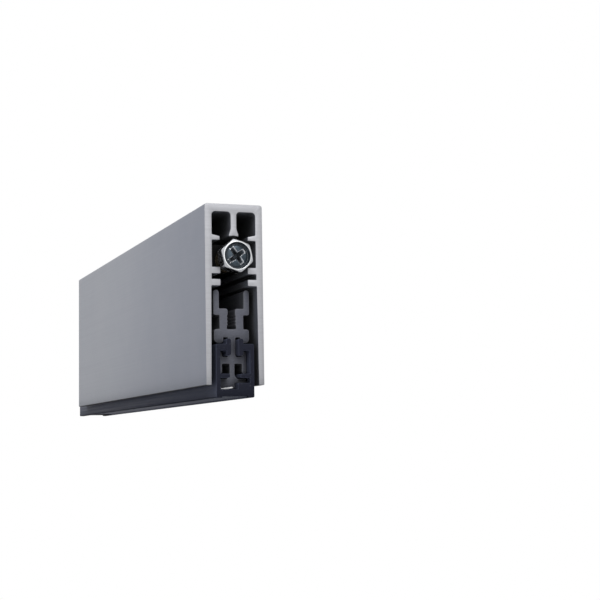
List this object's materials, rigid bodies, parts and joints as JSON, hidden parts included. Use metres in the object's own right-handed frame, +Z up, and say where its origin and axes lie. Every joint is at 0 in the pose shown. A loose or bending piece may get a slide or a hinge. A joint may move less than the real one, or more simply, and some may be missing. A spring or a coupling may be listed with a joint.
{
  "type": "automatic door bottom seal",
  "caption": "Aluminium case for a groove in a door's lower edge, with a push rod linkage that lowers a rubber seal when the screw end is pressed.",
  "frame": {"origin": "centre of the case's top face, halfway along its length", "axes": "+Y along the seal away from the adjusting screw, +Z up towards the door, +X across the seal"},
  "size_m": [0.014, 0.1584, 0.0448],
  "materials": {
    "case": "mill finish extrusion",
    "carrier": "extruded hard plastic",
    "seal": "matt elastomer",
    "rod": "drawn steel",
    "link": "zinc plated sheet steel",
    "pin": "turned steel",
    "block": "moulded nylon",
    "plunger": "moulded nylon",
    "insert": "turned brass",
    "screw": "zinc plated steel",
    "spring": "drawn spring wire"
  },
  "bodies": {
    "case": {"case": "case", "guide_block_front": "block", "guide_block_rear": "block", "block_pin_front": "pin", "block_pin_rear": "pin"},
    "link_a_front": {"link_a_front": "link"},
    "link_a_rear": {"link_a_rear": "link"},
    "carrier": {"carrier": "carrier", "seal": "seal", "saddle_front": "link", "saddle_rear": "link", "saddle_pin_front": "pin", "saddle_pin_rear": "pin", "saddle_screw_front_1": "pin", "saddle_screw_front_2": "pin", "saddle_screw_rear_1": "pin", "saddle_screw_rear_2": "pin"},
    "rod": {"push_rod": "rod", "plunger": "plunger", "thread_insert": "insert", "spring_collar": "rod", "return_spring": "spring", "slide_block_front": "block", "slide_block_rear": "block", "slide_pin_front": "pin", "slide_pin_rear": "pin", "set_screw_front": "pin", "set_screw_rear": "pin"},
    "link_b_front": {"link_b_front": "link"},
    "link_b_rear": {"link_b_rear": "link"},
    "screw": {"adjusting_screw": "screw"}
  },
  "joints": [
    {"name": "front_link_swing", "type": "hinge", "parent": "case", "child": "link_a_front", "pos_m": [0, 0.0012, -0.0198], "axis": [1, 0, 0], "range_deg": [0, 16], "stiffness_Nm_per_rad": 0.05, "springref_deg": -34.38},
    {"name": "rear_link_swing", "type": "hinge", "parent": "case", "child": "link_a_rear", "pos_m": [0, 0.0635, -0.0198], "axis": [1, 0, 0], "range_deg": [0, 16]},
    {"name": "carrier_drop", "type": "hinge", "parent": "link_a_front", "child": "carrier", "pos_m": [0, -0.01865, -0.02224], "axis": [1, 0, 0], "range_deg": [-16, 0]},
    {"name": "plunger_push", "type": "slide", "parent": "case", "child": "rod", "axis": [0, 1, 0], "range_m": [0, 0.00288], "deforming": ["return_spring"]},
    {"name": "front_push_link", "type": "hinge", "parent": "rod", "child": "link_b_front", "pos_m": [0, -0.0385, -0.0198], "axis": [-1, 0, 0], "range_deg": [0, 16]},
    {"name": "rear_push_link", "type": "hinge", "parent": "rod", "child": "link_b_rear", "pos_m": [0, 0.0238, -0.0198], "axis": [-1, 0, 0], "range_deg": [0, 16]},
    {"name": "screw_turn", "type": "hinge", "parent": "rod", "child": "screw", "pos_m": [0, -0.0665, -0.0124], "axis": [0, -1, 0], "continuous": true}
  ],
  "couplings": [
    {"joint": "rear_link_swing", "follows": "front_link_swing", "ratio": 1},
    {"joint": "carrier_drop", "follows": "front_link_swing", "ratio": -1},
    {"joint": "plunger_push", "follows": "front_link_swing", "m_per_rad": 0.010319},
    {"joint": "front_push_link", "follows": "front_link_swing", "ratio": 1},
    {"joint": "rear_push_link", "follows": "front_link_swing", "ratio": 1}
  ]
}
